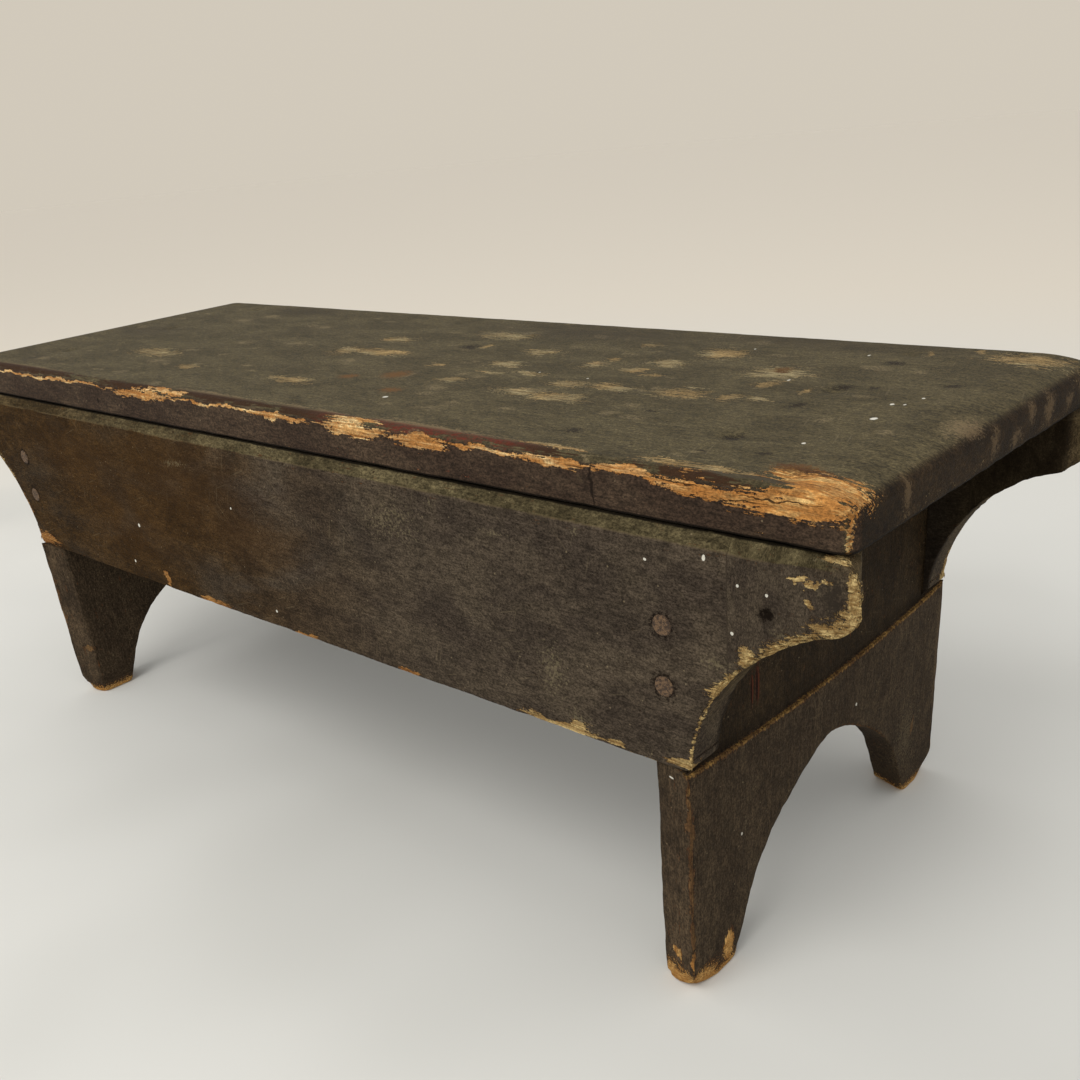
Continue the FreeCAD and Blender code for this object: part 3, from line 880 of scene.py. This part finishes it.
apron_finish(
    front,
    on_face(-97, [
        (-50, 97.5, 14, 2.6), (20, 97, 10, 2), (90, 97, 9, 1.6), (174, 98, 20, 1.9), (182, 100, 5, 3),
        (199, 98.4, 5, 1.5), (279, 161, 6.5, 2.0), (253.5, 145, 3.4, 4.0), (270.6, 174.9, 3.0, 0.75),
        (275.2, 173.4, 3.2, 0.7), (279, 174.2, 1.8, 0.6), (273.6, 167.8, 1.4, 1.2), (-92, 102, 2, 4)
    ]) + [
        (-228, -97, 100.5, 19, 5, 4), (230, -97, 99, 8, 5, 1.6), (236, -97, 102, 3, 5, 4.5),
        (282, -95.5, 181, 6, 5, 1.3), (286.5, -96, 172, 1.6, 5, 9)
    ],
    on_face(-97, [
        (148, 168, 9.6, 1.4), (117, 174, 4, 3), (188, 175, 3, 1.6), (-57, 166, 18, 3), (172, 120, 10, 16),
        (93, 164, 26, 12), (242, 140, 10, 5), (264.5, 157, 4, 2.6), (277.4, 171.6, 2.6, 2.2),
        (280, 175, 2.6, 2.2), (282.8, 177.8, 2.6, 2.2), (182, 104, 8, 6), (31, 178, 3, 2)
    ]) + [(279, -96, 181.5, 12, 5, 4)],
    [(281, -96, 170.2, 3.3, 5, 6.6)],
    on_face(-97, [
        (259.6, 161.4, 2.8, 2.5), (221.5, 127.5, 4.6, 4.6), (221.5, 149.5, 4.7, 4.7),
        (-221.5, 127.5, 4.6, 4.6), (-221.5, 149.5, 4.6, 4.6)
    ]),
    on_face(-97, [(-150, 158, 55, 16), (-16, 140, 40, 12), (-116, 129, 47, 21), (-66, 158, 68, 24)]),
    on_face(-97, [
        (238, 175.5, 0.9, 1.6), (250, 169, 0.8, 0.8), (248, 153, 0.9, 0.9), (260, 168, 0.8, 0.8),
        (216, 171, 0.9, 0.7), (-108, 128, 1.4, 1.4), (-122, 106, 1.2, 1.2), (-18, 151, 0.8, 0.8),
        (2, 105, 1, 1)
    ]),
)
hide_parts("front_apron")

apron_finish(
    rear,
    on_face(97, [
        (50, 97.5, 14, 2.6), (-20, 97, 10, 2), (-200, 98, 34, 3.6), (-264, 160, 9, 6), (-280, 165, 5, 7),
        (276, 172, 8, 6)
    ]) + [(228, 97, 100.5, 19, 5, 4)],
    on_face(97, [(-140, 166, 9.6, 1.4), (-60, 150, 18, 8), (110, 120, 12, 14), (190, 164, 20, 8)]),
    [],
    [],
    [(-120, 97, 150, 55, 4, 16), (60, 97, 135, 60, 4, 18)],
    on_face(97, [(-218, 165, 0.9, 1.2), (150, 130, 0.9, 0.9), (20, 160, 0.8, 0.8)]),
)
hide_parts("rear_apron")

# Legs: two upright pine boards, grain up and down, notched at both sides for the aprons. An arch
# is sawn out of the foot, the long edges lean in towards the back, and the outer face is thinned
# by 2 mm above a hand cut ledge that sags a little. The soles are scuffed to bare wood.
leg_out, leg_in, leg_half, leg_panel = 0.231, 0.214, 0.0985, 0.229
leg_mid, half_thick, notch, edge_lean = 0.2225, 0.0085, 0.080, 0.005
arch_half, arch_high, arch_round, arch_flare = 0.0685, 0.066, 0.004, 0.005
foot_round, sole_round, sole_reach = 0.006, 0.0012, 0.0006
ledge_z, ledge_sag, blend_from, blend_long, worn_high = 0.096, 0.0045, 0.078, 0.018, 0.010


def through(points, count):
    line = []
    for number in range(len(points) - 1):
        a, b = points[max(number - 1, 0)], points[number]
        c, d = points[number + 1], points[min(number + 2, len(points) - 1)]
        for part in range(count):
            t = part / count
            line.append([
                0.5 * (
                    2 * q + (r - p) * t + (2 * p - 5 * q + 4 * r - s) * t * t
                    + (3 * q - p - 3 * r + s) * t ** 3
                )
                for p, q, r, s in zip(a, b, c, d)
            ])
    return line + [list(points[-1])]


arch = [
    (0, arch_high), (0.48 * arch_half, 0.79 * arch_high), (0.81 * arch_half, 0.48 * arch_high),
    (arch_half, arch_round)
]
arch = through(other_half(arch[1:]) + arch, 9)
foot_in = arc((arch_half + arch_round, arch_round), arch_round, 180, 270, 5)[1:]
foot_out = arc((leg_half - foot_round, foot_round), foot_round, -90, 0, 9)
shoulder = [(leg_half, apron_low), (notch, apron_low), (notch, top_low)]
side = other_half(foot_in) + arch + foot_in + foot_out + shoulder + other_half(foot_out + shoulder)
right = draw("right_plank", [(leg_out, y, z) for y, z in side])
bpy.ops.mesh.extrude_region_move(TRANSFORM_OT_translate={"value": (leg_in - leg_out, 0, 0)})
face_outwards()
pick("VERT", lambda v: v.co.x < leg_in + 0.001 and abs(v.co.y) < 0.078 and v.co.z < arch_high + 0.001)
bpy.ops.transform.resize(value=(1, (arch_half + arch_flare) / arch_half, 1), center_override=(leg_in, 0, 0))
for half in (-1, 1):
    cut_off((leg_out, half * leg_half, 0), (-edge_lean, half * 0.017, 0))
bpy.ops.object.mode_set(mode="OBJECT")


def ledge_at(y):
    return ledge_z - ledge_sag * max(0.0, 1 - (y / leg_half) ** 2)


def curve_at(radius, height):
    return math.sqrt(max(0.0, radius ** 2 - max(0.0, radius - height) ** 2))


ledge = [Vector((leg_out, y, ledge_at(y))) for y in steps(-leg_half, leg_half, arris_step)]
right_arrises = arris_points(right, ledge)
left_arrises = arris_points(right, ledge, (-1, 1, 1))
start_edit(right)
round_over(0.0006, 2, lambda e: arris(e) and middle(e).z < 0.0968)
saw(1, steps(-0.0970, 0.0970, 0.002))
saw(2, [0.0003, 0.0008, 0.0015, 0.0024, 0.0033, 0.0042, 0.0056] + steps(0.007, 0.0946, 0.002))
saw(2, [0.0960, 0.0967] + steps(0.0985, 0.181, 0.002))
saw(0, [0.2295, 0.2275, 0.225, 0.222, 0.219, 0.2165, 0.215])
bpy.ops.object.mode_set(mode="OBJECT")
for corner in right.data.vertices:
    spot = corner.co
    if spot.z < worn_high:
        outer = leg_half - foot_round + curve_at(foot_round, spot.z)
        inner = arch_half + arch_round - curve_at(arch_round, spot.z)
        swell = sole_reach / sole_round * curve_at(sole_round, spot.z)
        slim = (half_thick - sole_reach + swell) / half_thick
        u, v = (spot.x - leg_mid) / half_thick, (2 * abs(spot.y) - inner - outer) / (outer - inner)
        bend = 10.0 if v < 0 else 1.7 if u > 0 else 5.0
        corner_cut = max(abs(u), abs(v)) / max(0.000001, (abs(u) ** bend + abs(v) ** bend) ** (1 / bend))
        keep = 1 + (1 - spot.z / worn_high) ** 1.3 * (corner_cut - 1)
        spot.x = leg_mid + (spot.x - leg_mid) * keep * slim
        spot.y = math.copysign((inner + outer) / 2 + (abs(spot.y) - (inner + outer) / 2) * keep, spot.y)
    if spot.x > leg_out - 0.0003 and spot.z > blend_from:
        rise, fall = (spot.z - blend_from) / blend_long, 1 - (spot.z - 0.0967) / 0.03
        follow = min(1.0, rise) if spot.z < 0.0965 else max(0.0, fall)
        spot.z -= (ledge_z - ledge_at(spot.y)) * follow
start_edit(right)
pick("VERT", lambda v: v.co.x > leg_out - 0.0003 and v.co.z > ledge_at(v.co.y) + 0.0004)
bpy.ops.transform.translate(value=(leg_panel - leg_out, 0, 0))
bpy.ops.object.mode_set(mode="OBJECT")
left = mirrored(right, "left_plank", "X")
for piece, arrises in ((right, right_arrises), (left, left_arrises)):
    wear_down(piece, arrises, (1, 1, 2.0), 0.003, lambda spot: 1.0, 0.5)


def leg_finish(piece, marks, pale_marks, hole_shade, flecks):
    finish = new_material(piece.name + "_paint")
    tree = finish[1]
    place, spots = in_mm(tree)
    upright = add(tree, "Mapping", {"Vector": place, "Rotation": (0, math.radians(90), 0)}).outputs[0]
    gap = noted(tree, "gap")
    torn = astray(tree, place, 3.6)
    patches = streaky(tree, place, 0.05, 0.05, 0.022, 2, 0.6)
    outside = beyond(tree, spots["X"], 224, 229)
    edge_wear = scaled(tree, between(tree, patches, 0.40, 0.62), 0.60, scaled(tree, gap, -0.40, 0.10))
    edge_wear = times(tree, edge_wear, scaled(tree, outside, 0.8, 0.2))
    bow = times(tree, spots["Y"], spots["Y"])
    bend = 4.5 / 98.5 ** 2
    ledge_gap = calc(tree, "ABSOLUTE", calc(tree, "SUBTRACT", spots["Z"], scaled(tree, bow, bend, 91.5)))
    ledge_wear = times(tree, scaled(tree, ledge_gap, -0.45, 0.92), beyond(tree, spots["X"], 229.2, 230.2))
    sole_wear = scaled(tree, spots["Z"], -0.13, 0.90)
    wear = most(
        tree, most(tree, edge_wear, calc(tree, "SUBTRACT", 1.45, nearest(tree, torn, marks))),
        most(tree, sole_wear, ledge_wear)
    )
    fine = grainy(tree, place, 0.9, 5, 0.7)
    on_sole = between(tree, spots["Z"], 24, 12)
    on_ledge = between(tree, spots["Z"], 88, 90)
    wood = tint(tree, on_sole, colour(118, 92, 60), colour(226, 182, 112))
    wood = tint(tree, on_ledge, wood, colour(158, 124, 70))
    wood_shade = tint(tree, on_sole, colour(84, 60, 40), colour(164, 112, 56))
    # Painted shade: above the ledge, under the overhang of the top board, the leg takes a darker paint.
    shaded_panel = between(tree, spots["Z"], 93, 97)
    paint = tint(tree, shaded_panel, colour(64, 53, 40), colour(48, 38, 25))
    paint_shade = tint(tree, shaded_panel, colour(54, 44, 33), colour(40, 31, 20))
    # Painted light: the front and back edges of the leg take a lighter paint than its outer face.
    lit_edges = beyond(tree, spots["Y"], 93.0, 96.0)
    paint = tint(tree, lit_edges, paint, colour(74, 61, 46))
    end_grain = between(tree, spots["Z"], 11.0, 10.9)
    grain = tint(tree, end_grain, upright, stretch(tree, place, 6, 1.5, 1.5))
    coat = use(tree, paint_group, {
        "Grain": grain, "Flat": stretch(tree, upright, 1, 1, 0), "Scratched": 0.06, "Wear": wear,
        "First Coat Wear": wear, "Ragged": 0.6, "Paint": paint, "Paint Shade": paint_shade,
        "First Coat": colour(84, 52, 30), "Wood": wood, "Wood Shade": wood_shade, "Dirt": colour(36, 27, 18),
    })
    # Painted shade in a slot on the right leg: a brown rim around a near-black core.
    deep = [(x, y - 0.4, z - 1, a, b * 0.45, c * 0.95) for x, y, z, a, b, c in hole_shade]
    skin = laid(tree, coat["Color"], fine, [
        (pale_marks, colour(108, 96, 74), torn, (0.7, 0.2), 0.4, 11.0),
        (hole_shade, colour(80, 40, 24), place, (1.2, 0.6), 0.85, 2.0),
        (deep, colour(20, 9, 6), place, (1.2, 0.7), 0.95, 1.0),
        (flecks, colour(200, 196, 184), place, (0.9, 0.6), 1.0, 0.8),
    ])
    # Dirt and painted shade: a dark band on the outer face just above the ledge, fading out over 7 mm
    # upwards.
    above = calc(tree, "SUBTRACT", spots["Z"], scaled(tree, bow, bend, 92.3))
    grime_and_shade = times(tree, between(tree, above, 7.0, 0.0), between(tree, above, -0.4, 0.2))
    grime_and_shade = times(tree, grime_and_shade, beyond(tree, spots["X"], 226, 228.5))
    skin = tint(tree, times(tree, grime_and_shade, 0.6), skin, colour(24, 18, 11))
    coat_with(piece, finish, skin, coat, 0.0006, 0.05)
    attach(piece, "root")


leg_finish(
    right,
    [
        (225, -93, 0, 14, 13, 10), (231, -75.5, 9, 4, 3.4, 6), (231, -98, 78, 1.6, 1.6, 14),
        (231, -98, 50, 1.2, 1.2, 14), (231, -98, 22, 1.5, 1.5, 12), (231, 75, 34, 4, 1.2, 4),
        (222, -98, 16, 3, 3, 3)
    ],
    [(231, -64, 59, 4, 1.2, 3.5), (231, 70, 30, 4, 9, 14), (229, -10, 150, 4, 22, 20)],
    [(229, -52.2, 111, 4, 1.5, 8), (229, -55.8, 110, 4, 1.0, 7)],
    [
        (231, -66, 55, 4, 0.7, 0.9), (229, -20, 130, 4, 0.8, 0.8), (231, 20, 70, 4, 0.8, 0.9),
        (222, -98, 92, 2, 4, 0.7)
    ],
)
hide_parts("right_leg")
leg_finish(
    left,
    [
        (-231, -89, 2, 4, 7, 5), (-231, 82, 1, 4, 6, 5), (-231, -74, 9, 4, 2, 4), (-231, -98, 60, 2, 2.2, 20),
        (-231, 98, 40, 2, 2.2, 24), (-216, -95, 30, 6, 3, 1.5)
    ],
    [(-231, 20, 80, 4, 20, 9), (-229, -30, 140, 4, 22, 20)],
    [],
    [(-231, 40, 60, 4, 0.8, 0.9)],
)
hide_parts("left_leg")

# Nails: cut iron nails with round heads, driven through the aprons and the top into the leg
# boards. The heads in the aprons stand just proud and are rusty brown.
rust, tree, shader = new_material("nail_rust")
place = in_mm(tree)[0]
crust = grainy(tree, place, 0.8, 5, 0.65)
pits = grainy(tree, place, 2.6, 3, 0.6)
shown = tint(tree, between(tree, crust, 0.42, 0.58), colour(60, 44, 30), colour(112, 87, 62))
shown = tint(tree, between(tree, pits, 0.55, 0.72), shown, colour(58, 38, 26))
tree.links.new(shown, shader.inputs["Base Color"])
tree.links.new(scaled(tree, crust, 0.2, 0.68), shader.inputs["Roughness"])
tree.links.new(scaled(tree, pits, -0.3, 0.35), shader.inputs["Metallic"])
relief(tree, shader, calc(tree, "ADD", crust, pits), 0.9, 0.0005)
for node in ("front_apron_nails", "rear_apron_nails", "top_leg_nails", "top_apron_nails"):
    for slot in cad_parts[node].material_slots:
        slot.material = rust
